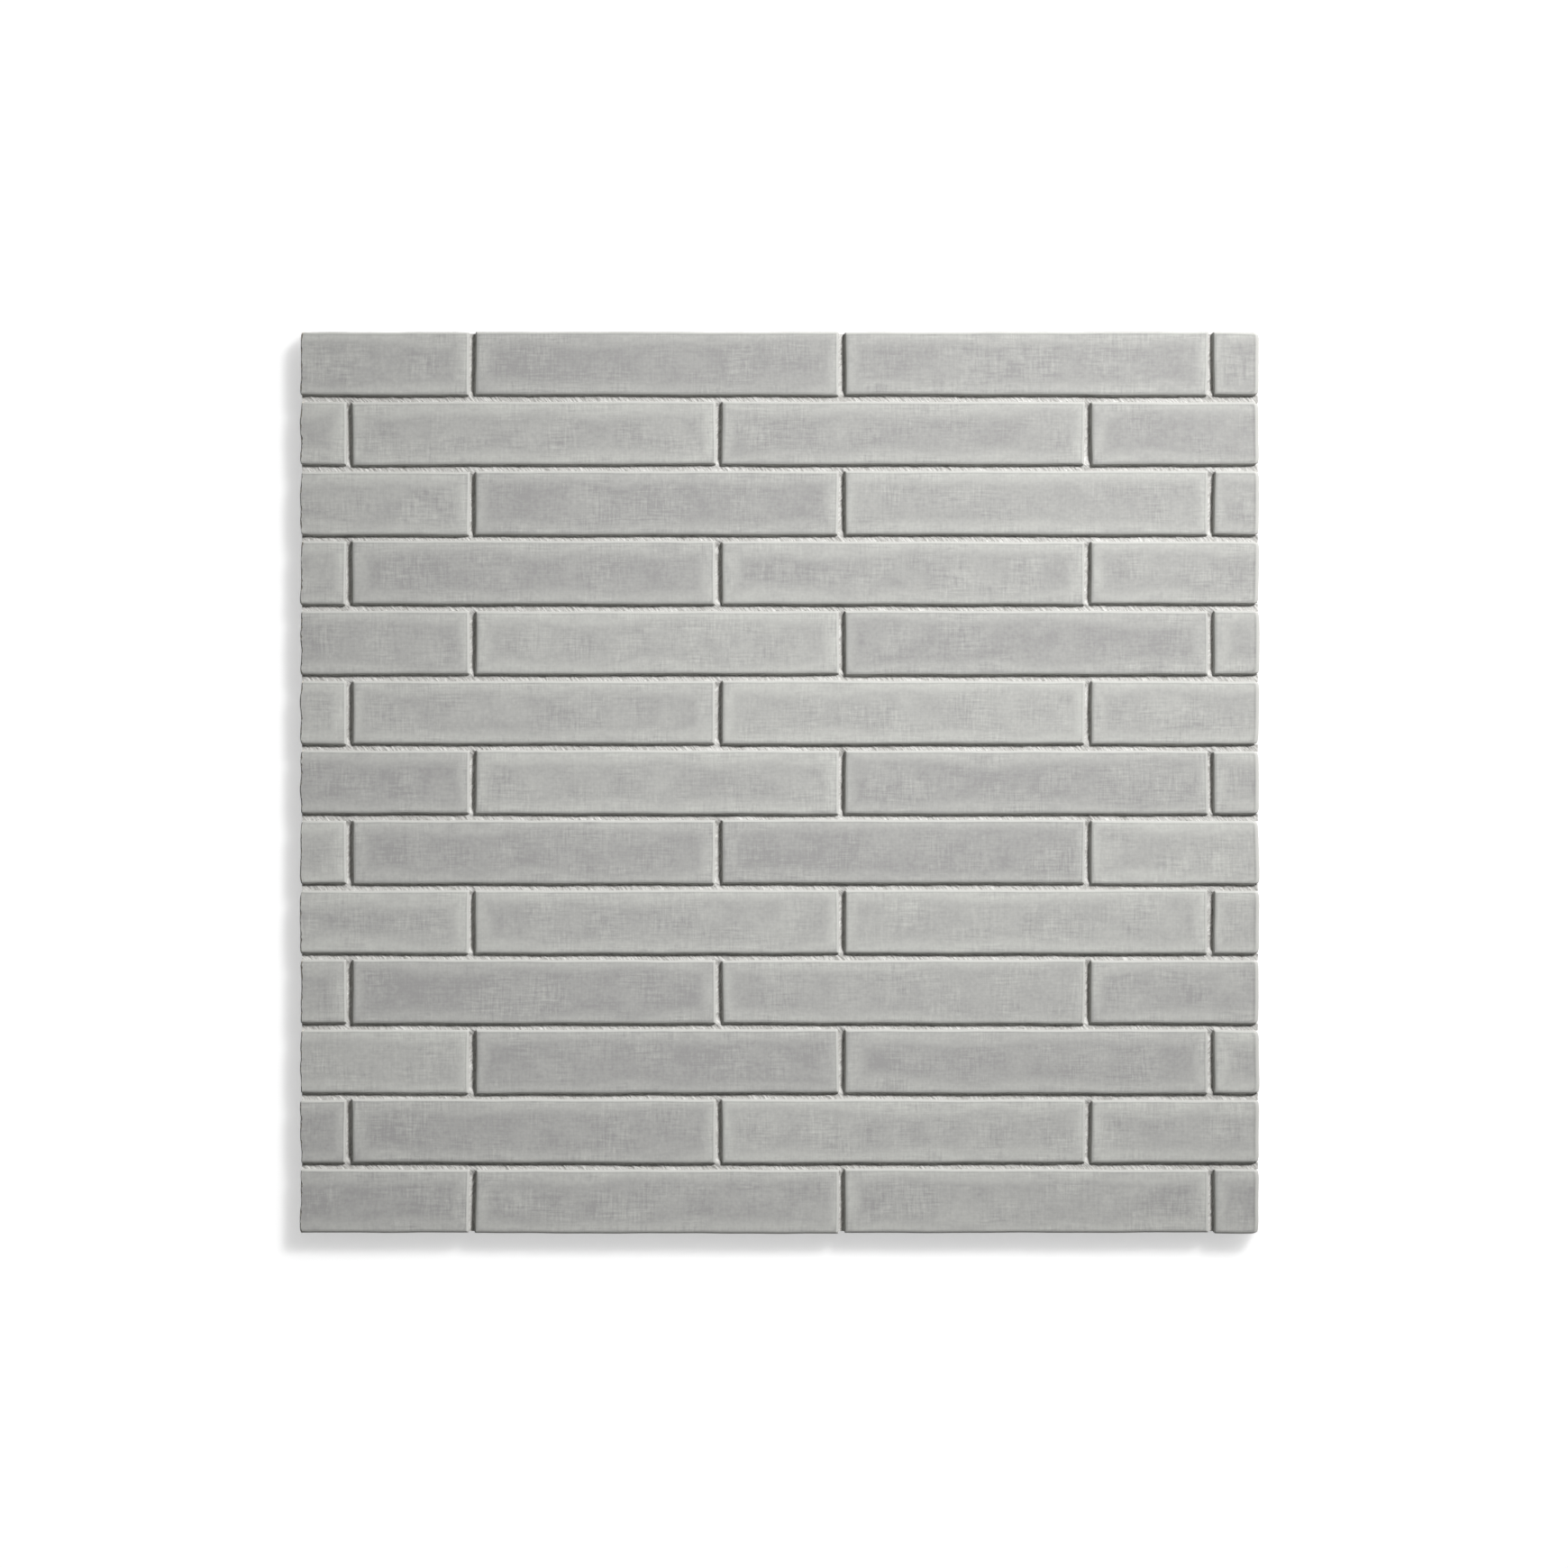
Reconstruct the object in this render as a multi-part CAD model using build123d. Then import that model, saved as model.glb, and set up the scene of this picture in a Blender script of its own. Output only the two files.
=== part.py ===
"""A grouted sheet of brick-shaped mosaic tiles, lying face up.

Thirteen courses of glazed ceramic tiles are laid in third bond on a woven glass net, and the
joints are filled with sanded cement grout. Every course has two whole tiles between two that are
sawn to length. The sawn ends on the right are eased as round as a pressed edge, and those on the
left stay as the saw left them.

X runs along the courses, Y across them, and Z up, out of the glazed face. The origin is the centre
of the sheet's underside. All sizes are in millimetres.
"""
from build123d import *
import os
import random

# The layout of the sheet
courses = 13
whole_tiles = 2
short_cut = 19.2
bond_share = 1 / 3
joint_width = 2.2

# A pressed tile
tile_length = 150.2
tile_width = 26.6
tile_thickness = 8.0
tile_edge_radius = 1.4
out_of_true = 0.3

# The keyed back of a tile
key_channels = 2
key_channel_width = 6.0
key_channel_depth = 0.5
key_channel_end = 7.0

# The sawn ends on the left
sawn_edge_bevel = 0.5

# The grout
cross_joint_recess = 2.6
bed_joint_recess = 1.8
tooling_radius = 5.0
grout_setback = 0.8

# The glass net on the back
net_thickness = 0.4
net_setback = 1.5

# How far a cutting shape runs past what it cuts
overrun = 10.0

# Places worked out from the sizes above
tile_pitch = tile_length + joint_width
course_pitch = tile_width + joint_width
sheet_length = (whole_tiles + bond_share) * tile_pitch + joint_width + 2 * short_cut
sheet_width = courses * course_pitch - joint_width
face_height = net_thickness + tile_thickness


def course_centre(course):
    """Y of a course's centre line. Course 0 is the top one."""
    return ((courses - 1) / 2 - course) * course_pitch


def cross_joints(course):
    """X of the centre of each cross joint in a course. Courses are shifted to the right and to the
    left in turn."""
    shift = bond_share / 2 * tile_pitch * (-1) ** course
    return [shift + (joint - whole_tiles / 2) * tile_pitch for joint in range(whole_tiles + 1)]


def tile_outline(course, place, left, right):
    """The plan of one tile. A pressed and fired tile is never quite square, so each corner is a
    little off its nominal place, and neighbours differ."""
    low = course_centre(course) - tile_width / 2
    high = low + tile_width
    firing = random.Random(100 * course + place)
    corners = [
        (x + firing.uniform(-out_of_true, out_of_true), y + firing.uniform(-out_of_true, out_of_true))
        for x, y in ((left, low), (right, low), (right, high), (left, high))
    ]
    return make_face(Polyline(*corners, close=True))


def cushioned_tile(outline, left, right, centre):
    """A tile with a cushioned edge all round its face. The shallow channels in its back are pressed
    into the whole tile, from left to right, so they run out at an end that is sawn."""
    body = extrude(outline, tile_thickness)
    body = fillet(body.faces().sort_by(Axis.Z)[-1].edges(), tile_edge_radius)
    channel = Box(right - left - 2 * key_channel_end, key_channel_width, 2 * key_channel_depth)
    spacing = tile_width / key_channels
    for n in range(key_channels):
        y = centre + (n - (key_channels - 1) / 2) * spacing
        body -= Pos((left + right) / 2, y, 0) * channel
    return Pos(0, 0, net_thickness) * body


def sawn_on_the_left(tile):
    """What the saw leaves of a tile. The sharp edge on its face is rubbed down to a bevel."""
    end, shoulder = -sheet_length / 2, face_height - sawn_edge_bevel
    top = face_height + overrun
    waste = [(end, -overrun), (end, shoulder), (end + sawn_edge_bevel + overrun, top)]
    waste += [(end - tile_pitch, top), (end - tile_pitch, -overrun)]
    profile = make_face(Plane.XZ * Polyline(*waste, close=True))
    return tile - extrude(profile, sheet_width / 2 + overrun, both=True)


def course_tiles(course):
    """The tiles of one course from left to right, each as its name, plan and solid."""
    joints = cross_joints(course)
    edges = [joints[0] - tile_pitch] + joints + [joints[-1] + tile_pitch]
    right_limit = sheet_length / 2 - out_of_true
    tiles = []
    for place in range(whole_tiles + 2):
        left = edges[place] + joint_width / 2
        right = edges[place + 1] - joint_width / 2
        outline = tile_outline(course, place, left, min(right, right_limit))
        tile = cushioned_tile(outline, left, right, course_centre(course))
        if place == 0:
            tile = sawn_on_the_left(tile)
        name = {0: "cut_left", whole_tiles + 1: "cut_right"}.get(place, f"tile_{place}")
        tiles.append((f"course_{course + 1:02d}_{name}", outline, tile))
    return tiles


def tooled_groove(length, recess):
    """The path of the round jointing tool along X, down to a recess below the tile faces."""
    centre = face_height - recess + tooling_radius
    return Pos(0, 0, centre) * Rot(0, 90, 0) * Cylinder(tooling_radius, length)


def grout_filling(outlines):
    """One casting of grout that fills every joint up to the faces, then hollowed by the tool."""
    size = (sheet_length - 2 * grout_setback, sheet_width - 2 * grout_setback, tile_thickness)
    filling = Pos(0, 0, net_thickness) * Box(*size, align=(Align.CENTER, Align.CENTER, Align.MIN))
    tiles = [extrude(outline, face_height + overrun) for outline in outlines]
    grooves = []
    for course in range(courses):
        y = course_centre(course)
        if course > 0:
            groove = tooled_groove(sheet_length + overrun, bed_joint_recess)
            grooves.append(Pos(0, y + course_pitch / 2, 0) * groove)
        for x in cross_joints(course):
            groove = tooled_groove(tile_width, cross_joint_recess)
            grooves.append(Pos(x, y, 0) * Rot(0, 0, 90) * groove)
    return filling - tiles - grooves


def glass_net():
    """The outer shape of the thin open weave that the tiles are glued to."""
    size = (sheet_length - 2 * net_setback, sheet_width - 2 * net_setback, net_thickness)
    return Box(*size, align=(Align.CENTER, Align.CENTER, Align.MIN))


os.makedirs("parts", exist_ok=True)
outlines = []
for course in range(courses):
    for name, outline, tile in course_tiles(course):
        export_step(tile, f"parts/{name}.step")
        outlines.append(outline)
export_step(grout_filling(outlines), "parts/grout.step")
export_step(glass_net(), "parts/backing_net.step")
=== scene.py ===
import math
import random

import bpy
import numpy as np
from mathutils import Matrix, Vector, noise


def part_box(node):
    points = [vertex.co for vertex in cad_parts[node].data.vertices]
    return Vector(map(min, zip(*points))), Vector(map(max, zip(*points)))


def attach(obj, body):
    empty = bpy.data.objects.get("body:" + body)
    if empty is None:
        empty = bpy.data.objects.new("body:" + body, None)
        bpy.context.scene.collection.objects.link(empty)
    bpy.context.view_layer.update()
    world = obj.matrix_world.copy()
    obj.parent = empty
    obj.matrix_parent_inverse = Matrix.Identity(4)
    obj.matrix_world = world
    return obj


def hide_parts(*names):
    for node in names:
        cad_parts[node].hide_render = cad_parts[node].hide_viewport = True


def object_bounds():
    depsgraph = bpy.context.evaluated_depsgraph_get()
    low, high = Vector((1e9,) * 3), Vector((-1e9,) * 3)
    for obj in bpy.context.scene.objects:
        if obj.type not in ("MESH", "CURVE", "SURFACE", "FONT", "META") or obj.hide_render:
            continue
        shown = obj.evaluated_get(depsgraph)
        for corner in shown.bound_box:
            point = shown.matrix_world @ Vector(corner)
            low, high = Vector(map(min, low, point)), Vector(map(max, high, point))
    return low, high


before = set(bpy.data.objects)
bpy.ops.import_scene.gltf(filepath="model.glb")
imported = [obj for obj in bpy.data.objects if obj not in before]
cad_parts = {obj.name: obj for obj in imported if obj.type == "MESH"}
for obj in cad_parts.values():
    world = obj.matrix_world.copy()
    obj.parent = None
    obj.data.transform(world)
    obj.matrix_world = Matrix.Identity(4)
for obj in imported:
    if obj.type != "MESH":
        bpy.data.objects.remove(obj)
cad_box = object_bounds()

# Camera: it looks straight down on the face of the sheet, with the first course at the top. Its
# height gives a picture pixel the real size that it has on the tiles. The sheet's centre is given
# in pixels of the picture.
MM = 0.001
picture_side = 1740
pixel_mm = 0.3717
sheet_centre = (865.5, 868.3)
lens, sensor = 100.0, 36.0
face_z = cad_box[1].z
camera_data = bpy.data.cameras.new("camera")
camera_data.lens = lens
camera_data.sensor_width = sensor
camera = bpy.data.objects.new("camera", camera_data)
camera.location = (
    (picture_side / 2 - sheet_centre[0]) * pixel_mm * MM,
    (sheet_centre[1] - picture_side / 2) * pixel_mm * MM,
    face_z + picture_side * pixel_mm * MM * lens / sensor,
)
bpy.context.scene.collection.objects.link(camera)
bpy.context.scene.camera = camera

# Glass net: the open weave on the back that holds the tiles at their spacing until they are laid.
# Glass yarns cross over and under each other, and a white resin size stiffens them. The tiles are
# glued down on it.
net_low, net_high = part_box("backing_net")
net_opening_mm = 5.0
yarn_width_mm = 0.9
yarn_height_mm = 0.2


def linear(hex_colour):
    """The linear colour of an sRGB hex value."""
    channels = [int(hex_colour[i : i + 2], 16) / 255 for i in (1, 3, 5)]
    return [c / 12.92 if c <= 0.04045 else ((c + 0.055) / 1.055) ** 2.4 for c in channels] + [1.0]


def add(tree, kind, settings=None, inputs=None, output=None):
    """Adds a node, sets it up and links it, and returns its named output, or the first in use."""
    node = tree.nodes.new(kind)
    for name, value in (settings or {}).items():
        setattr(node, name, value)
    for key, value in (inputs or {}).items():
        by_name = [s for s in node.inputs if s.name == key and s.enabled]
        socket = node.inputs[key] if isinstance(key, int) else by_name[0]
        if isinstance(value, bpy.types.NodeSocket):
            tree.links.new(value, socket)
        else:
            socket.default_value = value
    if output:
        return node.outputs[output]
    return next((s for s in node.outputs if s.enabled), node)


def new_material(name):
    """An empty node material and its tree."""
    material = bpy.data.materials.new(name)
    material.use_nodes = True
    material.node_tree.nodes.clear()
    return material, material.node_tree


def new_piece(name, points, faces, materials, face_materials=None):
    """A mesh object of points in millimetres."""
    mesh = bpy.data.meshes.new(name)
    mesh.from_pydata(np.asarray(points) * MM, [], faces)
    for material in materials:
        mesh.materials.append(material)
    if face_materials is not None:
        mesh.polygons.foreach_set("material_index", face_materials)
    mesh.shade_smooth()
    mesh.validate()
    piece = bpy.data.objects.new(name, mesh)
    bpy.context.scene.collection.objects.link(piece)
    return piece


def yarn(centres, sideways):
    """Points and faces of one yarn with a flat, lens-like section along its centre line."""
    side = np.asarray(sideways) * yarn_width_mm / 2
    up = np.array((0, 0, yarn_height_mm / 2))
    ring = np.array((side, up, -side, -up))
    count = len(centres)
    points = (centres[:, None, :] + ring[None, :, :]).reshape(-1, 3)
    faces = []
    for k in range(count - 1):
        for n in range(4):
            a, b = 4 * k + n, 4 * k + (n + 1) % 4
            faces.append((a, b, b + 4, a + 4))
    faces.append((3, 2, 1, 0))
    faces.append(tuple(4 * (count - 1) + n for n in range(4)))
    return points, faces


def woven_net():
    """Every yarn of the net. A yarn passes over one crossing and under the next."""
    low, high = np.array(net_low) / MM, np.array(net_high) / MM
    middle = (low[2] + high[2]) / 2
    margin = yarn_width_mm / 2
    counts = [round((high[i] - low[i] - 2 * margin) / net_opening_mm) for i in (0, 1)]
    lines = [np.linspace(low[i] + margin, high[i] - margin, counts[i] + 1) for i in (0, 1)]
    all_points, all_faces = [], []
    for along in (0, 1):
        across = 1 - along
        # Two stretches from one crossing to the next, with the crossings at the even points.
        halves = np.arange(2 * counts[along] + 1)
        steps = np.interp(halves / 2, np.arange(counts[along] + 1), lines[along])
        weave = np.where(halves % 2 == 0, np.cos(math.pi * halves / 2), 0)
        for number, place in enumerate(lines[across]):
            over = 1 if (number + along) % 2 == 0 else -1
            centres = np.empty((len(steps), 3))
            centres[:, along] = steps
            centres[:, across] = place
            centres[:, 2] = middle + over * weave * yarn_height_mm / 2
            sideways = (0, 1, 0) if along == 0 else (-1, 0, 0)
            points, faces = yarn(centres, sideways)
            first = sum(len(p) for p in all_points)
            all_points.append(points)
            all_faces += [tuple(i + first for i in face) for face in faces]
    return np.concatenate(all_points), all_faces


def sized_glass_yarn():
    """Resin-sized glass yarn: white and a little glossy, with filaments in it. They are about
    0.01 mm thick, and are drawn as streaks of 0.15 mm so that they show."""
    material, tree = new_material("sized_glass_yarn")
    filament_mm, filament_relief_mm = 0.15, 0.03
    place = add(tree, "ShaderNodeTexCoord", output="Object")
    filaments = add(tree, "ShaderNodeTexNoise", inputs={"Vector": place, "Scale": 1 / (filament_mm * MM)})
    colour = add(
        tree,
        "ShaderNodeMix",
        {"data_type": "RGBA"},
        {"Factor": filaments, "A": linear("#D8D9D4"), "B": linear("#F3F3EF")},
    )
    relief = add(
        tree,
        "ShaderNodeBump",
        inputs={"Height": filaments, "Distance": filament_relief_mm * MM, "Strength": 0.6},
    )
    surface = add(
        tree,
        "ShaderNodeBsdfPrincipled",
        inputs={"Base Color": colour, "Roughness": 0.42, "IOR": 1.5, "Normal": relief},
    )
    add(tree, "ShaderNodeOutputMaterial", inputs={"Surface": surface})
    return material


net = new_piece("woven_glass_net", *woven_net(), [sized_glass_yarn()])
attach(net, "root")
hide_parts("backing_net")

# Tiles: pressed stoneware bodies with a satin reactive glaze, fired once. The die cushions the edge
# all round the face, and the back has two shallow channels for the adhesive. The end tiles of each
# course are sawn, which shows the bare body, and those on the right have their edge eased to match.
arris_width_mm, arris_drop_mm = 1.1, 1.2
eased_width_mm, eased_corner_mm = 1.8, 1.0
arris_segments, crown_segments, side_segments = 8, 4, 3
corner_sharpness, eased_corner_sharpness = 6, 2
crown_width_mm, crown_drop_mm = 6.0, 0.12
bow_mm, least_bow, whole_length_mm = 0.08, 0.2, 150.2
ripple_mm, ripple_turn = 0.03, 0.3
edge_wander_mm, long_wander_mm, short_wander_mm = 0.25, (40, 90), (15, 30)
lippage_mm = 0.1
sawn_bevel_mm, least_bevel_mm = 0.5, 0.1
chip_mm, chip_pitch_mm, bare_from = 0.6, 1.5, 0.1
cut_stray_mm, cut_wave_mm, knocked_corner_mm = 0.6, 7.0, 0.7
channel_depth_mm, channel_width_mm, channel_end_mm, channel_draft_mm = 0.5, 6.0, 7.0, 0.4
face_step_mm, cut_step_mm = 2.6, 0.9
smooth_below = math.radians(35)
firing_seed = 13846
back_z_mm, face_z_mm = net_high.z / MM, face_z / MM


def tile_corners(node):
    """The four corners of a tile's plan in millimetres: near left, near right, far right, far left."""
    points = np.array([v.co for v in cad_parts[node].data.vertices]) / MM
    plan = points[points[:, 2] < (back_z_mm + face_z_mm) / 2, :2]
    return np.array([plan[np.argmax(plan @ way)] for way in ((-1, -1), (1, -1), (1, 1), (-1, 1))])


def grid_line(length, start_arris, end_arris, extra, step):
    """Where the grid lines of a tile lie along one side: close together round the arris, close on
    the crown and a step apart on the face. A sawn start has no arris."""
    turn = np.sin(np.linspace(0, math.pi / 2, arris_segments + 1))
    start, end = (
        np.append(arris * (1 - turn[::-1]), np.linspace(arris, crown_width_mm, crown_segments + 1)[1:])
        for arris in (start_arris, end_arris)
    )
    if not start_arris:
        start = np.array((0, sawn_bevel_mm))
    face = length - start[-1] - end[-1]
    inner = np.linspace(start[-1], length - end[-1], max(2, round(face / step)))
    lines = np.concatenate((start, inner[1:-1], length - end[::-1], [e for e in extra if 0 < e < length]))
    return np.unique(np.round(lines, 4))


def turned_past(where, length, start_arris, end_arris):
    """How far a place lies past the start of the arris, as a share of its width: below 0 at the
    start, above 0 at the end, and 0 on the face."""
    low = np.minimum(where - start_arris, 0) / start_arris if start_arris else np.zeros_like(where)
    return low + np.maximum(where - (length - end_arris), 0) / end_arris


def wander(rng, where):
    """How far inward a pressed edge strays along its length, on a long wave and one half as high."""
    phases = [rng.uniform(0, 2 * math.pi) for _ in range(2)]
    waves = [rng.uniform(*long_wander_mm), rng.uniform(*short_wander_mm)]
    long, short = (np.sin(2 * math.pi * where / wave + phase) for wave, phase in zip(waves, phases))
    return edge_wander_mm * (1.5 + long + 0.5 * short) / 3


def saw_cut(rng, along_mm, width):
    """What the saw leaves of an end: how deep the glaze is chipped along it, the bevel that the chips
    widen, and how far the cut strays inward, with its corners knocked off."""
    seed = rng.uniform(0, 1000)
    chips, stray = (
        np.array([noise.noise(Vector((y / wave_mm, seed, layer))) for y in along_mm])
        for wave_mm, layer in ((chip_pitch_mm, 0), (cut_wave_mm, 5))
    )
    bevel = np.maximum(sawn_bevel_mm + chip_mm * chips, least_bevel_mm)
    to_corner = np.minimum(along_mm, width - along_mm)
    knocked = knocked_corner_mm * np.exp(-to_corner / knocked_corner_mm)
    cut = cut_stray_mm * np.maximum(0.5 + stray, 0) + knocked
    return chips, bevel, cut[:, None]


def fired_face(rng, s, t, length, to_pressed_s, to_side_t):
    """How far the face lies below a true plane: it bows, falls to a crown at its pressed edges and
    ripples, and the whole tile sits a little low."""
    crown = crown_drop_mm * sum(
        np.maximum(1 - inward_mm / crown_width_mm, 0) ** 2 for inward_mm in (to_pressed_s, to_side_t)
    )
    bow = bow_mm * rng.uniform(least_bow, 1) * ((2 * s - length) / whole_length_mm) ** 2
    ripple = sum(
        np.sin(
            s * rng.uniform(ripple_turn / 3, ripple_turn)
            + t * rng.uniform(-ripple_turn, ripple_turn)
            + rng.uniform(0, 6)
        )
        for _ in range(3)
    )
    return rng.uniform(0, lippage_mm) + bow + crown + ripple_mm * (1 + ripple / 3)


def closed_mesh(plan, top, bottom):
    """A closed mesh over a grid of places: its points, the quads of its face, back and sides, and the
    numbers of the grid's points round its edge."""
    rows, columns = top.shape
    number = np.arange(rows * columns).reshape(rows, columns)
    edge = np.concatenate((number[0, :-1], number[:-1, -1], number[-1, :0:-1], number[:0:-1, 0]))
    upper = np.dstack((plan, top)).reshape(-1, 3)
    lower = np.dstack((plan, bottom)).reshape(-1, 3)
    steps = np.linspace(0, 1, side_segments + 1)[1:-1]
    between = [upper[edge] * (1 - k) + lower[edge] * k for k in steps]
    around = (number[:-1, :-1], number[:-1, 1:], number[1:, 1:], number[1:, :-1])
    face = np.stack(around, axis=-1).reshape(-1, 4)
    rings = [2 * number.size + n * len(edge) + np.arange(len(edge)) for n in range(len(steps))]
    rings = [edge, *rings, edge + number.size]
    sides = [
        np.stack((high, low, np.roll(low, -1), np.roll(high, -1)), axis=-1)
        for high, low in zip(rings[:-1], rings[1:])
    ]
    points = np.concatenate([upper, lower] + between)
    return points, face, face[:, ::-1] + number.size, np.concatenate(sides), edge


def tile_mesh(node, rng):
    """Points, faces, the faces' materials and the shading attributes of one tile."""
    corners = tile_corners(node)
    left_sawn, right_eased = "cut_left" in node, "cut_right" in node
    length = np.mean(corners[[1, 2], 0] - corners[[0, 3], 0])
    width = np.mean(corners[[2, 3], 1] - corners[[0, 1], 1])
    # The two channels in the back run out at an end that is cut.
    channels = [width / 4, 3 * width / 4]
    half = channel_width_mm / 2
    foot = half + channel_draft_mm
    across = [middle + edge for middle in channels for edge in (-foot, -half, half, foot)]
    channel_from = -1.0 if left_sawn else channel_end_mm
    channel_to = length + 1.0 if right_eased else length - channel_end_mm
    along = [channel_from, channel_from + channel_draft_mm, channel_to - channel_draft_mm, channel_to]
    # The grid of places on the tile, s along it and t across it.
    left_arris = 0 if left_sawn else arris_width_mm
    right_arris = eased_width_mm if right_eased else arris_width_mm
    step_mm = cut_step_mm if left_sawn else face_step_mm
    s, t = np.meshgrid(
        grid_line(length, left_arris, right_arris, along, face_step_mm),
        grid_line(width, arris_width_mm, arris_width_mm, across, step_mm),
    )
    rows, columns = s.shape
    past_s = turned_past(s, length, left_arris, right_arris)
    past_t = turned_past(t, width, arris_width_mm, arris_width_mm)
    # A square corner of the grid is drawn in to a rounded one.
    reach = np.maximum(abs(past_s), abs(past_t))
    sharpness = np.where(right_eased & (past_s > 0), eased_corner_sharpness, corner_sharpness)
    rounded = (abs(past_s) ** sharpness + abs(past_t) ** sharpness) ** (1 / sharpness)
    drawn_in = 1 - reach / np.maximum(rounded, 1e-9)
    drawn_in[reach == 0] = 0
    plan_s = s - past_s * drawn_in * np.where(past_s > 0, right_arris, left_arris)
    plan_t = t - past_t * drawn_in * arris_width_mm
    # A cut end has no crown and no margin of thin glaze.
    far = np.full_like(s, width)
    to_left = far if left_sawn else s
    to_pressed_s = np.minimum(to_left, far if right_eased else length - s)
    to_side_t = np.minimum(t, width - t)
    chips, bevel, cut = saw_cut(rng, t[:, 0], width)
    arris_drop = arris_drop_mm * (1 - np.sqrt(np.maximum(1 - reach**2, 0)))
    top = face_z_mm - fired_face(rng, s, t, length, to_pressed_s, to_side_t) - arris_drop
    if left_sawn:
        plan_s[:, 1] = bevel
        top[:, 0] -= np.maximum(bevel - arris_drop[:, 0], 0)
    inside_s = np.clip((s - channel_from) / channel_draft_mm, 0, 1)
    inside_s *= np.clip((channel_to - s) / channel_draft_mm, 0, 1)
    inside_t = sum(np.clip((foot - abs(t - middle)) / channel_draft_mm, 0, 1) for middle in channels)
    bottom = back_z_mm + channel_depth_mm * inside_s * inside_t
    # The grid is laid between the four real corners, and its edges stray.
    share_s, share_t = plan_s / length, plan_t / width
    near, far_side = wander(rng, s), wander(rng, s)
    left = cut if left_sawn else wander(rng, t)
    right = wander(rng, t)
    if right_eased:
        right = right + eased_corner_mm * np.exp(-to_side_t[:, :1] / eased_corner_mm)
    share_t = share_t + ((1 - share_t) * near - share_t * far_side) / width
    share_s = share_s + ((1 - share_s) * left - share_s * right) / length
    back_s, back_t = 1 - share_s, 1 - share_t
    weights = (back_s * back_t, share_s * back_t, share_s * share_t, back_s * share_t)
    plan = sum(w[..., None] * corner for w, corner in zip(weights, corners))
    points, face, back, sides, edge = closed_mesh(plan, top, bottom)
    # The body is bare on the back, on the cut ends and in the deeper chips. The edge runs along the
    # near side, the right end, the far side and the left end in turn.
    chipped = np.zeros((rows - 1, columns - 1), dtype=int)
    cut_ends = np.zeros(len(edge), dtype=int)
    if left_sawn:
        chipped[:, 0] = (chips[:-1] + chips[1:]) / 2 > bare_from
        cut_ends[2 * columns + rows - 3 :] = 1
    if right_eased:
        cut_ends[columns - 1 : columns + rows - 2] = 1
    bare = np.concatenate((chipped.ravel(), np.ones(len(back), dtype=int), np.tile(cut_ends, side_segments)))
    # What the glaze needs at each point: its place, how far it is from the edge, and the tile's tone.
    to_right = (length - s) * arris_width_mm / right_arris
    to_edge = np.minimum(np.minimum(to_left, to_right), to_side_t).ravel()
    to_pressed = np.minimum(to_pressed_s, to_side_t).ravel()
    place = np.dstack((s, t, np.full_like(s, rng.uniform(0, 1000)))).reshape(-1, 3)
    place_on_sides = np.tile(place[edge], (side_segments - 1, 1))
    none_on_sides = np.zeros(len(place_on_sides))
    attributes = {
        "place_mm": np.concatenate((place, place, place_on_sides)),
        "edge_mm": np.concatenate((to_edge, to_edge, none_on_sides)),
        "pressed_edge_mm": np.concatenate((to_pressed, to_pressed, none_on_sides)),
        "tile_tone": np.full(len(points), rng.uniform(-1, 1)),
    }
    return points, np.concatenate((face, back, sides)).tolist(), bare, attributes


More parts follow.
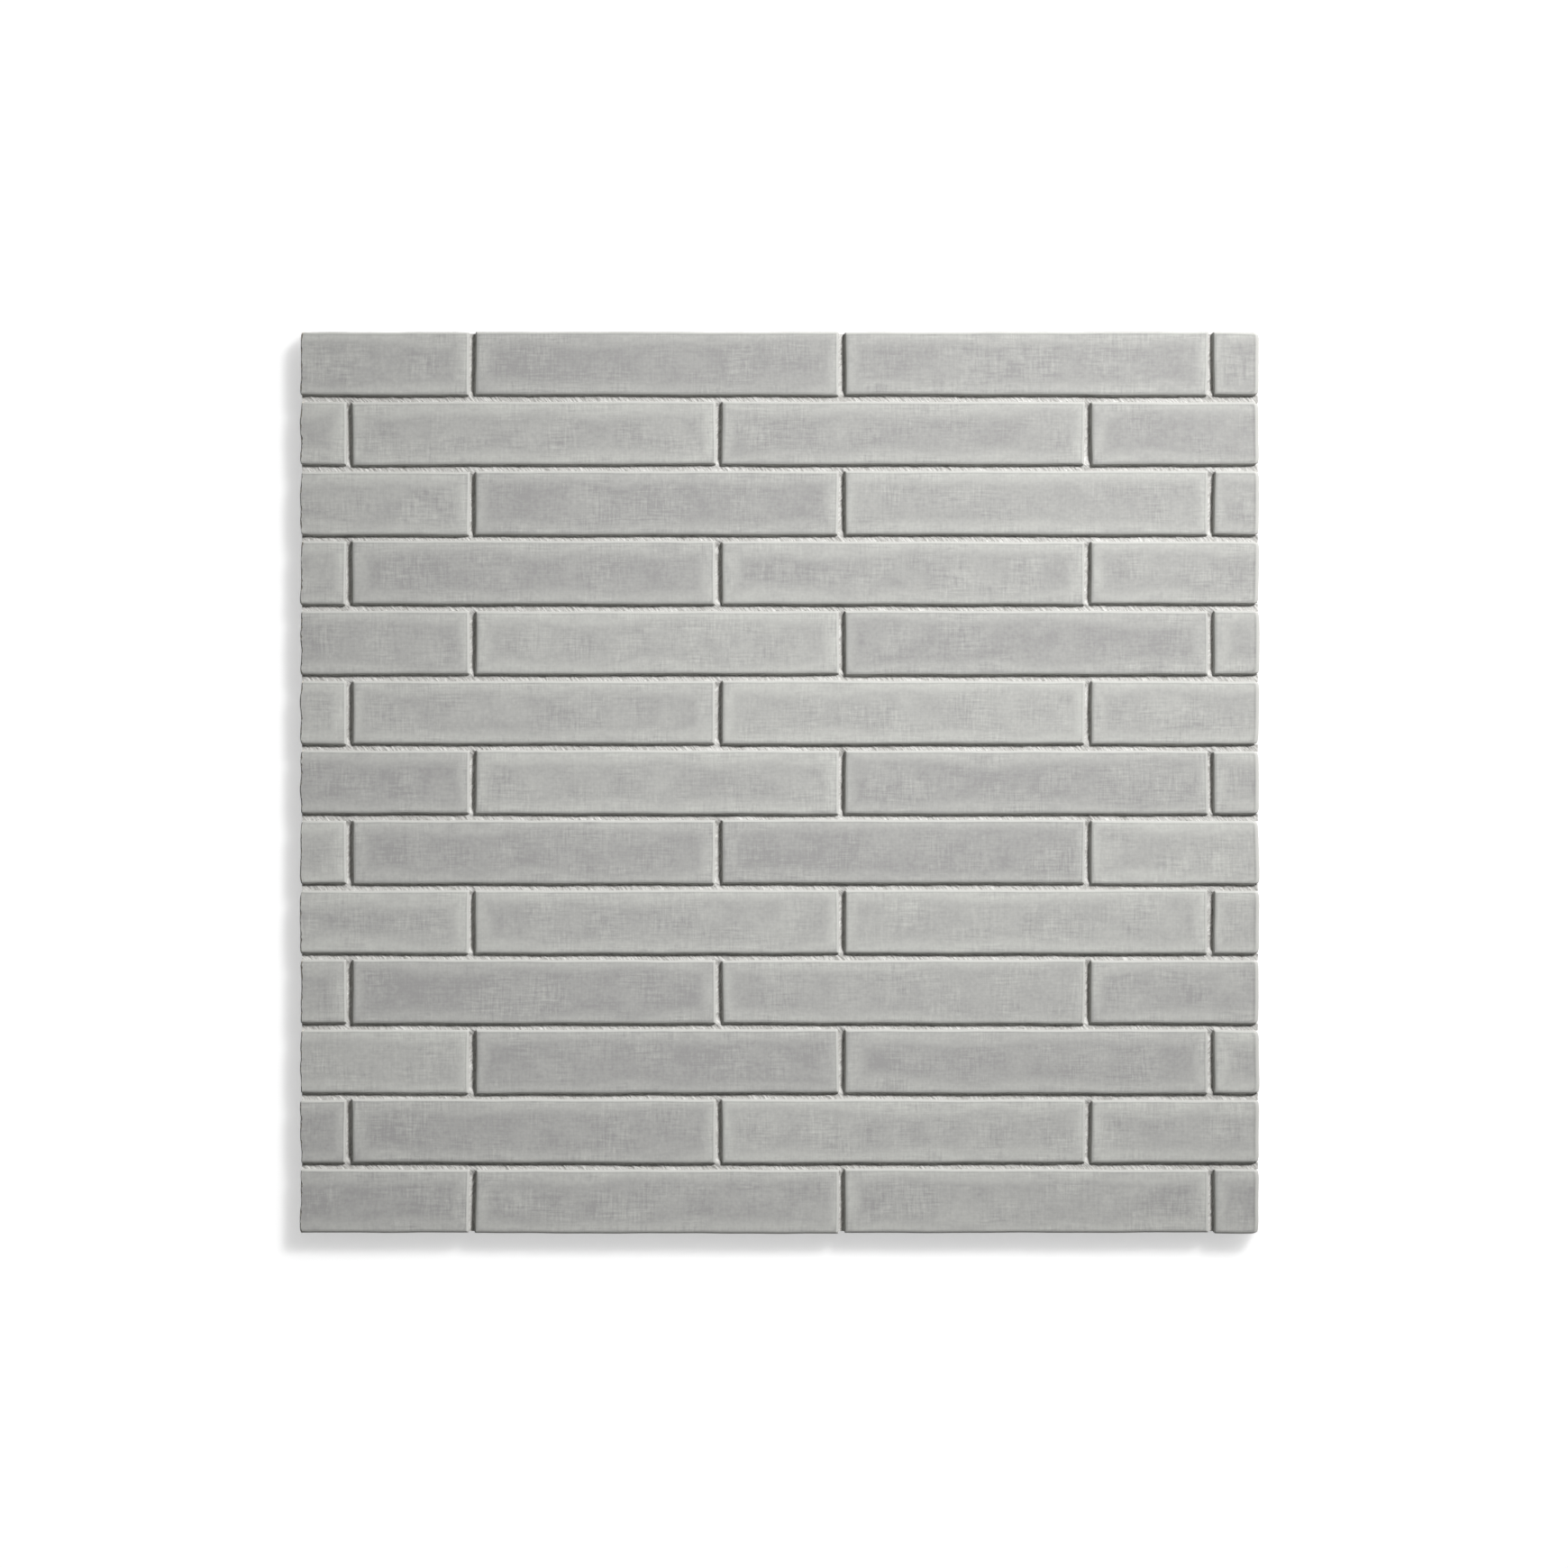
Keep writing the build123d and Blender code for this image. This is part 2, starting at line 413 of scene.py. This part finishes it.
def satin_glaze():
    """Satin reactive glaze: semi-matte and cool grey, laid over a canvas-like grain that it fills.
    It is thin and pale at the arrises and towards the edges, and thick and darker in the middle."""
    material, tree = new_material("satin_reactive_glaze")
    thread_mm, thread_length_mm = 0.85, 8.5
    drift_mm, patch_mm, cloud_mm, grain_mm, peel_mm = 35.0, 16.0, 11.0, 1.6, 1.2
    patch_from, patch_to, least_canvas = 0.4, 0.62, 0.25
    mean_shade, cloud_swing, peel_share = 0.243, 0.3, 0.4
    margin_from_mm, margin_to_mm = 2.4, 7.0
    canvas_stray_mm, cloud_stray_mm, drift_stray_mm = 5.0, 8.0, 12.0
    thin_from_mm, thin_to_mm, thin_share = 0.75, 1.05, 0.9
    pool_from_mm, pool_to_mm, pool_share = 1.2, 1.7, 0.18
    relief_mm, glossiest, dullest = 0.05, 0.6, 0.72
    place = add(tree, "ShaderNodeAttribute", {"attribute_name": "place_mm"}, output="Vector")
    edge = add(tree, "ShaderNodeAttribute", {"attribute_name": "edge_mm"}, output="Fac")
    pressed = add(tree, "ShaderNodeAttribute", {"attribute_name": "pressed_edge_mm"}, output="Fac")
    tone = add(tree, "ShaderNodeAttribute", {"attribute_name": "tile_tone"}, output="Fac")
    threads = []
    for scale in ((1 / thread_mm, 1 / thread_length_mm, 1), (1 / thread_length_mm, 1 / thread_mm, 1)):
        stretched = add(tree, "ShaderNodeMapping", inputs={"Vector": place, "Scale": scale})
        thread = {"Vector": stretched, "Scale": 1.0, "Detail": 2.0, "Roughness": 0.6}
        threads.append(add(tree, "ShaderNodeTexNoise", inputs=thread))
    canvas = add(tree, "ShaderNodeMath", {"operation": "ADD"}, {0: threads[0], 1: threads[1]})
    canvas = add(tree, "ShaderNodeMath", {"operation": "SUBTRACT"}, {0: canvas, 1: 1.0})
    # The canvas shows through in patches.
    patches = {"Vector": place, "Scale": 1 / patch_mm, "Detail": 1.0}
    patches = add(tree, "ShaderNodeTexNoise", inputs=patches)
    patches = add(
        tree,
        "ShaderNodeMapRange",
        inputs={
            "Value": patches,
            "From Min": patch_from,
            "From Max": patch_to,
            "To Min": least_canvas,
            "To Max": 1.0,
        },
    )
    canvas = add(tree, "ShaderNodeMath", {"operation": "MULTIPLY"}, {0: canvas, 1: patches})
    clouds = add(
        tree,
        "ShaderNodeTexNoise",
        inputs={"Vector": place, "Scale": 1 / cloud_mm, "Detail": 3.0, "Roughness": 0.55},
    )
    clouds = add(tree, "ShaderNodeMath", {"operation": "SUBTRACT"}, {0: clouds, 1: 0.5})
    drift = add(tree, "ShaderNodeTexNoise", inputs={"Vector": place, "Scale": 1 / drift_mm, "Detail": 1.0})
    drift = add(tree, "ShaderNodeMath", {"operation": "SUBTRACT"}, {0: drift, 1: 0.5})
    # The thin margin ends in a ragged line, combed out along the threads.
    ragged = pressed
    for layer, stray_mm in ((canvas, canvas_stray_mm), (clouds, cloud_stray_mm), (drift, drift_stray_mm)):
        strayed = {0: layer, 1: stray_mm, 2: ragged}
        ragged = add(tree, "ShaderNodeMath", {"operation": "MULTIPLY_ADD"}, strayed)
    margin = add(
        tree,
        "ShaderNodeMapRange",
        {"interpolation_type": "SMOOTHSTEP"},
        {"Value": ragged, "From Min": margin_from_mm, "From Max": margin_to_mm, "To Min": 1, "To Max": 0},
    )
    grain = add(
        tree,
        "ShaderNodeTexNoise",
        inputs={"Vector": place, "Scale": 1 / grain_mm, "Detail": 2.0, "Roughness": 0.6},
    )
    grain = add(tree, "ShaderNodeMath", {"operation": "SUBTRACT"}, {0: grain, 1: 0.5})
    # How much each layer lightens the thick glaze, from its mean shade.
    shade = mean_shade
    layers = ((clouds, 0.6), (grain, 0.45), (canvas, 0.85), (drift, 0.3), (margin, 0.28), (tone, 0.13))
    for layer, share in layers:
        shade = add(tree, "ShaderNodeMath", {"operation": "MULTIPLY_ADD"}, {0: layer, 1: share, 2: shade})
    glaze = add(
        tree,
        "ShaderNodeMix",
        {"data_type": "RGBA"},
        {"Factor": shade, "A": linear("#9A9998"), "B": linear("#CDCEC8")},
    )
    thin = add(
        tree,
        "ShaderNodeMapRange",
        {"interpolation_type": "SMOOTHSTEP"},
        {"Value": edge, "From Min": thin_from_mm, "From Max": thin_to_mm, "To Min": thin_share, "To Max": 0},
    )
    pooled = add(
        tree,
        "ShaderNodeMapRange",
        {"interpolation_type": "SMOOTHSTEP"},
        {"Value": edge, "From Min": pool_from_mm, "From Max": pool_to_mm, "To Min": pool_share, "To Max": 0},
    )
    glaze = add(
        tree,
        "ShaderNodeMix",
        {"data_type": "RGBA"},
        {"Factor": pooled, "A": glaze, "B": linear("#3C3C3A")},
    )
    glaze = add(
        tree,
        "ShaderNodeMix",
        {"data_type": "RGBA"},
        {"Factor": thin, "A": glaze, "B": linear("#B9B9B5")},
    )
    peel = add(tree, "ShaderNodeTexNoise", inputs={"Vector": place, "Scale": 1 / peel_mm, "Detail": 2.0})
    height = add(tree, "ShaderNodeMath", {"operation": "MULTIPLY_ADD"}, {0: peel, 1: peel_share, 2: canvas})
    relief = {"Height": height, "Distance": relief_mm * MM, "Strength": 1.0}
    relief = add(tree, "ShaderNodeBump", inputs=relief)
    roughness = add(
        tree,
        "ShaderNodeMapRange",
        inputs={
            "Value": clouds,
            "From Min": -cloud_swing,
            "From Max": cloud_swing,
            "To Min": glossiest,
            "To Max": dullest,
        },
    )
    surface = add(
        tree,
        "ShaderNodeBsdfPrincipled",
        inputs={"Base Color": glaze, "Roughness": roughness, "IOR": 1.5, "Normal": relief},
    )
    add(tree, "ShaderNodeOutputMaterial", inputs={"Surface": surface})
    return material


def fired_body():
    """Fired stoneware body: chalky, off-white and fine-grained, with a few darker specks. Its grain
    of about 0.1 mm is drawn as 0.5 mm so that it shows."""
    material, tree = new_material("fired_stoneware_body")
    grain_mm, cloud_mm, speck_mm, relief_mm = 0.5, 18, 1.6, 0.08
    grain_share, speck_core, speck_rim = 0.5, 0.08, 0.2
    place = add(tree, "ShaderNodeTexCoord", output="Object")
    grain, clouds = (
        add(tree, "ShaderNodeTexNoise", inputs={"Vector": place, "Scale": scale / MM, "Detail": detail})
        for scale, detail in ((1 / grain_mm, 4.0), (1 / cloud_mm, 3.0))
    )
    specks = add(tree, "ShaderNodeTexVoronoi", inputs={"Vector": place, "Scale": 1 / (speck_mm * MM)})
    specks = add(
        tree,
        "ShaderNodeMapRange",
        inputs={"Value": specks, "From Min": speck_core, "From Max": speck_rim, "To Min": 1, "To Max": 0},
    )
    tint = add(tree, "ShaderNodeMath", {"operation": "MULTIPLY_ADD"}, {0: grain, 1: grain_share, 2: clouds})
    colour = add(
        tree,
        "ShaderNodeMix",
        {"data_type": "RGBA"},
        {"Factor": tint, "A": linear("#BDB8AD"), "B": linear("#E4E0D6")},
    )
    colour = add(
        tree,
        "ShaderNodeMix",
        {"data_type": "RGBA"},
        {"Factor": specks, "A": colour, "B": linear("#A79F92")},
    )
    relief = {"Height": grain, "Distance": relief_mm * MM, "Strength": 0.8}
    relief = add(tree, "ShaderNodeBump", inputs=relief)
    surface = add(
        tree,
        "ShaderNodeBsdfPrincipled",
        inputs={"Base Color": colour, "Roughness": 0.85, "IOR": 1.5, "Normal": relief},
    )
    add(tree, "ShaderNodeOutputMaterial", inputs={"Surface": surface})
    return material


glaze_material, body_material = satin_glaze(), fired_body()
tile_nodes = sorted(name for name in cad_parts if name.startswith("course_"))
for number, node in enumerate(tile_nodes):
    points, faces, bare, attributes = tile_mesh(node, random.Random(firing_seed + number))
    tile = new_piece(f"glazed_{node}", points, faces, [glaze_material, body_material], bare)
    tile.data.set_sharp_from_angle(angle=smooth_below)
    for name, values in attributes.items():
        kind, field = ("FLOAT_VECTOR", "vector") if values.ndim == 2 else ("FLOAT", "value")
        attribute = tile.data.attributes.new(name, kind, "POINT")
        attribute.data.foreach_set(field, values.astype(np.float32).reshape(-1))
    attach(tile, "root")
    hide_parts(node)

# Grout: a cement and sand filling, pressed into the joints with a float and tooled with a round
# jointer. It is one casting, set back from the ends of the sheet, and sand stands out of its face.
grout_low, grout_high = (np.array(corner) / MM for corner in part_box("grout"))
grout_step_mm, grout_divisions = 0.62, 6
bite_mm, joint_half_mm = 0.3, 1.1
bed_recess_mm, cross_recess_mm, hollow_mm, rise_mm = 1.8, 2.6, 0.12, 2.5
drag_width_mm, drag_length_mm, drag_relief_mm = 1.1, 3.4, 0.27
lump_mm, lump_relief_mm = 4.0, 0.15
short_of_back_mm = 0.15
grout_smooth_below = math.radians(60)
tiles_in_course = 4
corners_of = {node: tile_corners(node) for node in tile_nodes}
plans = np.array(list(corners_of.values()))
# The grout bites a little into the tiles, so that no gap opens along their wandering edges.
inward = np.array(((1, 1), (-1, 1), (-1, -1), (1, -1)))
courses = []
for first in range(0, len(tile_nodes), tiles_in_course):
    row = sorted(tile_nodes[first : first + tiles_in_course], key=lambda node: corners_of[node][0, 0])
    courses.append([corners_of[node] + bite_mm * inward for node in row])

grout_points, grout_faces, numbers = [], [], {}


def grout_point(place, inside=0.0, underside=False):
    """The number of the grout's point at a place, made once. Inside is how far the place lies
    within a cross joint, from the nearest bed joint."""
    key = (round(place[0], 3), round(place[1], 3), underside)
    if key not in numbers:
        numbers[key] = len(grout_points)
        grout_points.append((place[0], place[1], inside, underside))
    return numbers[key]


def grout_strip(side_a, side_b, inside, wall_a, wall_b, wall_start, wall_end):
    """One run of grout between two lists of opposite places, side_b to the left of side_a as one
    looks along them. Walls close it where no other run joins it."""
    rows = []
    for a, b in zip(side_a, side_b):
        shares = np.linspace(0, 1, grout_divisions + 1)[:, None]
        rows.append(a * (1 - shares) + b * shares)
    top = [[grout_point(place, depth) for place in row] for row, depth in zip(rows, inside)]
    under = [[grout_point(row[n], underside=True) for n in (0, -1)] for row in rows]
    last = len(rows) - 1
    for k in range(last):
        for n in range(grout_divisions):
            grout_faces.append((top[k][n], top[k + 1][n], top[k + 1][n + 1], top[k][n + 1]))
        start, end = under[k], under[k + 1]
        if k == 0 and not wall_start:
            start = [grout_point(place, underside=True) for place in rows[k]]
        if k == last - 1 and not wall_end:
            end = [grout_point(place, underside=True) for place in rows[k + 1]]
        grout_faces.append((*start, *end[::-1]))
        if wall_a[k]:
            grout_faces.append((under[k][0], under[k + 1][0], top[k + 1][0], top[k][0]))
        if wall_b[k]:
            grout_faces.append((top[k][-1], top[k + 1][-1], under[k + 1][1], under[k][1]))
    if wall_start:
        grout_faces.append((*under[0][::-1], *top[0]))
    if wall_end:
        grout_faces.append((*under[last], *top[last][::-1]))


def divided(low, high, count):
    """Evenly spaced numbers from low to high, without the last."""
    return list(np.linspace(low, high, count + 1)[:-1])


def bed_joint(above, below):
    """The grout between two courses, over the whole length of the sheet."""
    gaps = [(above[n][1][0], above[n + 1][0][0]) for n in range(len(above) - 1)]
    gaps_below = [(below[n][2][0], below[n + 1][3][0]) for n in range(len(below) - 1)]
    stops = sorted([g for gap in gaps + gaps_below for g in gap] + [grout_low[0], grout_high[0]])
    stations, open_above, open_below = [], [], []
    for low, high in zip(stops[:-1], stops[1:]):
        is_gap = any(abs(low - g[0]) < 1e-6 for g in gaps), any(abs(low - g[0]) < 1e-6 for g in gaps_below)
        count = grout_divisions if any(is_gap) else max(1, math.ceil((high - low) / grout_step_mm))
        stations += divided(low, high, count)
        open_above += [is_gap[0]] * count
        open_below += [is_gap[1]] * count
    stations.append(stops[-1])
    upper = np.array([corner for tile in above for corner in (tile[0], tile[1])])
    lower = np.array([corner for tile in below for corner in (tile[3], tile[2])])
    side_a = [np.array((x, np.interp(x, lower[:, 0], lower[:, 1]))) for x in stations]
    side_b = [np.array((x, np.interp(x, upper[:, 0], upper[:, 1]))) for x in stations]
    inside = [0.0] * len(stations)
    grout_strip(side_a, side_b, inside, [not o for o in open_below], [not o for o in open_above], True, True)


def cross_joint(left, right, end_low, end_high):
    """The grout between two tiles of a course. An end that meets no bed joint lies at a given Y."""
    left_low, left_high, right_low, right_high = left[1], left[2], right[0], right[3]
    if end_low is not None:
        left_low, right_low = np.array((left_low[0], end_low)), np.array((right_low[0], end_low))
    if end_high is not None:
        left_high, right_high = np.array((left_high[0], end_high)), np.array((right_high[0], end_high))
    count = math.ceil((left_high[1] - left_low[1]) / grout_step_mm)
    shares = np.linspace(0, 1, count + 1)
    side_b = [left_low * (1 - k) + left_high * k for k in shares]
    side_a = [right_low * (1 - k) + right_high * k for k in shares]
    run = shares * (left_high[1] - left_low[1])
    to_low = run if end_low is None else np.full_like(run, rise_mm)
    to_high = run[-1] - run if end_high is None else np.full_like(run, rise_mm)
    closed = [True] * count
    inside = np.minimum(to_low, to_high)
    grout_strip(side_a, side_b, inside, closed, closed, end_low is not None, end_high is not None)


def to_nearest_tile(places):
    """How far each place lies outside the nearest tile's plan."""
    nearest = np.full(len(places), np.inf)
    for plan in plans:
        outside = np.full(len(places), -np.inf)
        for start, end in zip(plan, np.roll(plan, -1, axis=0)):
            way = (end - start) / np.linalg.norm(end - start)
            outside = np.maximum(outside, (places - start) @ np.array((way[1], -way[0])))
        nearest = np.minimum(nearest, outside)
    return nearest


def grout_heights(points, in_cross):
    """The height of each point: the tooled hollow with its lumps and drag marks, or the flat
    underside, which stops just short of the tile backs. The marks slant one way in the bed joints
    and the other way in the cross joints."""
    to_side = np.clip(to_nearest_tile(points[:, :2]), 0, joint_half_mm)
    recess = bed_recess_mm + (cross_recess_mm - bed_recess_mm) * in_cross**2 * (3 - 2 * in_cross)
    level = face_z_mm - recess + hollow_mm * (1 - to_side / joint_half_mm) ** 2
    for i, (x, y, _, underside) in enumerate(points):
        if underside:
            level[i] = back_z_mm + short_of_back_mm
            continue
        level[i] += lump_relief_mm * noise.noise(Vector((x, y, 0)) / lump_mm)
        down, up = (x - y) / math.sqrt(2), (x + y) / math.sqrt(2)
        in_bed = noise.noise(Vector((down / drag_length_mm, up / drag_width_mm, 5)))
        in_joint = noise.noise(Vector((up / drag_length_mm, down / drag_width_mm, 9)))
        level[i] += drag_relief_mm * (in_bed * (1 - in_cross[i]) + in_joint * in_cross[i])
    return level


def sanded_grout():
    """Sanded cement grout: matt, very pale and warm. Quartz sand of 0.3 to 0.7 mm rolled under the float and
    left slanting drag marks, drawn here at about twice their width so that they show.
    Their troughs are also painted darker in colour, as painted shade of the marks' relief."""
    material, tree = new_material("sanded_cement_grout")
    mark_mm, mark_length_mm = 0.75, 3.5
    sand_mm, paste_mm, fine_mm, relief_mm = 0.6, 9, 0.35, 0.15
    # The share of the drag marks in the colour is painted shade of their relief.
    sand_share, mark_shade_share, tint_offset, mark_relief = 0.3, 1.4, 0.85, 3.0
    place = add(tree, "ShaderNodeTexCoord", output="Object")
    in_cross = add(tree, "ShaderNodeAttribute", {"attribute_name": "in_cross"}, output="Fac")
    marks = []
    scale = (1 / (mark_length_mm * MM), 1 / (mark_mm * MM), 1 / (mark_length_mm * MM))
    for turn in (45, -45):
        turned = add(tree, "ShaderNodeVectorRotate", inputs={"Vector": place, "Angle": math.radians(turn)})
        stretched = add(tree, "ShaderNodeMapping", inputs={"Vector": turned, "Scale": scale})
        mark = {"Vector": stretched, "Scale": 1.0, "Detail": 2.0}
        marks.append(add(tree, "ShaderNodeTexNoise", inputs=mark))
    marks = add(tree, "ShaderNodeMix", inputs={"Factor": in_cross, "A": marks[0], "B": marks[1]})
    grains = {"Vector": place, "Scale": 1 / (sand_mm * MM)}
    sand = add(tree, "ShaderNodeTexVoronoi", inputs=grains, output="Color")
    sand = add(tree, "ShaderNodeSeparateColor", inputs={"Color": sand}, output="Red")
    paste, fine = (
        add(tree, "ShaderNodeTexNoise", inputs={"Vector": place, "Scale": scale / MM, "Detail": detail})
        for scale, detail in ((1 / paste_mm, 4.0), (1 / fine_mm, 3.0))
    )
    tint = add(tree, "ShaderNodeMath", {"operation": "MULTIPLY_ADD"}, {0: sand, 1: sand_share, 2: paste})
    # The drag marks darken the colour in their troughs and lighten it on their ridges: painted shade of the
    # marks' relief.
    tint = add(tree, "ShaderNodeMath", {"operation": "MULTIPLY_ADD"}, {0: marks, 1: mark_shade_share, 2: tint})
    tint = add(tree, "ShaderNodeMath", {"operation": "SUBTRACT"}, {0: tint, 1: tint_offset})
    colour = add(
        tree,
        "ShaderNodeMix",
        {"data_type": "RGBA"},
        {"Factor": tint, "A": linear("#A4A29E"), "B": linear("#D6D5D2")},
    )
    height = add(tree, "ShaderNodeMath", {"operation": "MULTIPLY_ADD"}, {0: marks, 1: mark_relief, 2: fine})
    relief = {"Height": height, "Distance": relief_mm * MM, "Strength": 1.0}
    relief = add(tree, "ShaderNodeBump", inputs=relief)
    surface = add(
        tree,
        "ShaderNodeBsdfPrincipled",
        inputs={"Base Color": colour, "Roughness": 0.92, "IOR": 1.5, "Normal": relief},
    )
    add(tree, "ShaderNodeOutputMaterial", inputs={"Surface": surface})
    return material


for above, below in zip(courses[:-1], courses[1:]):
    bed_joint(above, below)
for place, course in enumerate(courses):
    for left, right in zip(course[:-1], course[1:]):
        end_low = grout_low[1] if place == len(courses) - 1 else None
        end_high = grout_high[1] if place == 0 else None
        cross_joint(left, right, end_low, end_high)
grout_points = np.array(grout_points, dtype=float)
in_cross = np.clip(grout_points[:, 2] / rise_mm, 0, 1)
grout_points[:, 2] = grout_heights(grout_points, in_cross)
grout = new_piece("sanded_grout", grout_points[:, :3], grout_faces, [sanded_grout()])
attribute = grout.data.attributes.new("in_cross", "FLOAT", "POINT")
attribute.data.foreach_set("value", in_cross.astype(np.float32))
grout.data.set_sharp_from_angle(angle=grout_smooth_below)
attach(grout, "root")
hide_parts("grout")

# Studio: the sheet lies on a white opal acrylic table, which softens its shadow. One round softbox
# with a grid stands to the upper right, and the surround is white. For rays that show it, away from
# the sheet the table turns to plain white.
floor_side_m = 6.0
key_size_m, key_distance_m = 0.4, 2.0
key_azimuth, key_elevation = math.radians(50), math.radians(37)
key_spread, key_aim = math.radians(50), Vector((-0.02, -0.045, 0))
key_power = 5.0
fill_strength = 0.06
floor_glow = 0.5
white_from_m, white_to_m = 0.3, 0.8


def shown_rays(tree):
    """1 for the rays that show a thing to the camera, straight or through gloss or glass."""
    rays = add(tree, "ShaderNodeLightPath", output="Is Camera Ray").node.outputs
    straight_or_gloss = {0: rays["Is Camera Ray"], 1: rays["Is Glossy Ray"]}
    shown = add(tree, "ShaderNodeMath", {"operation": "MAXIMUM"}, straight_or_gloss)
    return add(tree, "ShaderNodeMath", {"operation": "MAXIMUM"}, {0: shown, 1: rays["Is Transmission Ray"]})


def opal_acrylic():
    """White opal acrylic: light spreads some millimetres inside it, so shadows have soft edges."""
    material, tree = new_material("white_opal_acrylic")
    spread_mm = 24.0
    sheet = add(
        tree,
        "ShaderNodeBsdfPrincipled",
        {"subsurface_method": "BURLEY"},
        {
            "Base Color": linear("#E0E0E0"),
            "Roughness": 0.9,
            "Specular IOR Level": 0.0,
            "Subsurface Weight": 1.0,
            "Subsurface Radius": (1.0, 1.0, 1.0),
            "Subsurface Scale": spread_mm * MM,
        },
    )
    place = add(tree, "ShaderNodeTexCoord", output="Object")
    away = add(tree, "ShaderNodeVectorMath", {"operation": "LENGTH"}, {0: place}, "Value")
    glow = add(
        tree,
        "ShaderNodeMapRange",
        {"interpolation_type": "SMOOTHSTEP"},
        {
            "Value": away,
            "From Min": white_from_m,
            "From Max": white_to_m,
            "To Min": floor_glow,
            "To Max": 1.0,
        },
    )
    seen = add(tree, "ShaderNodeMath", {"operation": "MULTIPLY"}, {0: shown_rays(tree), 1: glow})
    white = add(tree, "ShaderNodeEmission", inputs={"Color": linear("#FFFFFF"), "Strength": seen})
    surface = add(tree, "ShaderNodeAddShader", inputs={0: sheet, 1: white})
    add(tree, "ShaderNodeOutputMaterial", inputs={"Surface": surface})
    return material


half_mm = floor_side_m / 2 / MM
floor_points = [(x * half_mm, y * half_mm, 0) for x, y in ((-1, -1), (1, -1), (1, 1), (-1, 1))]
floor = new_piece("floor", floor_points, [(0, 1, 2, 3)], [opal_acrylic()])

key_data = bpy.data.lights.new("key", "AREA")
key_data.shape = "DISK"
key_data.size = key_size_m
key_data.energy = key_power
key_data.spread = key_spread
key = bpy.data.objects.new("key", key_data)
key_way = Vector(
    (
        math.cos(key_azimuth) * math.cos(key_elevation),
        math.sin(key_azimuth) * math.cos(key_elevation),
        math.sin(key_elevation),
    )
)
key.location = key_way * key_distance_m
key.rotation_mode = "QUATERNION"
key.rotation_quaternion = (key.location - key_aim).to_track_quat("Z", "Y")
bpy.context.scene.collection.objects.link(key)

world = bpy.data.worlds.new("white_surround")
world.use_nodes = True
world.node_tree.nodes.clear()
strength = add(
    world.node_tree,
    "ShaderNodeMapRange",
    inputs={"Value": shown_rays(world.node_tree), "To Min": fill_strength, "To Max": 1.0},
)
backdrop = add(
    world.node_tree, "ShaderNodeBackground", inputs={"Color": linear("#FFFFFF"), "Strength": strength}
)
add(world.node_tree, "ShaderNodeOutputWorld", inputs={"Surface": backdrop})
bpy.context.scene.world = world
bpy.context.scene.view_settings.view_transform = "Standard"
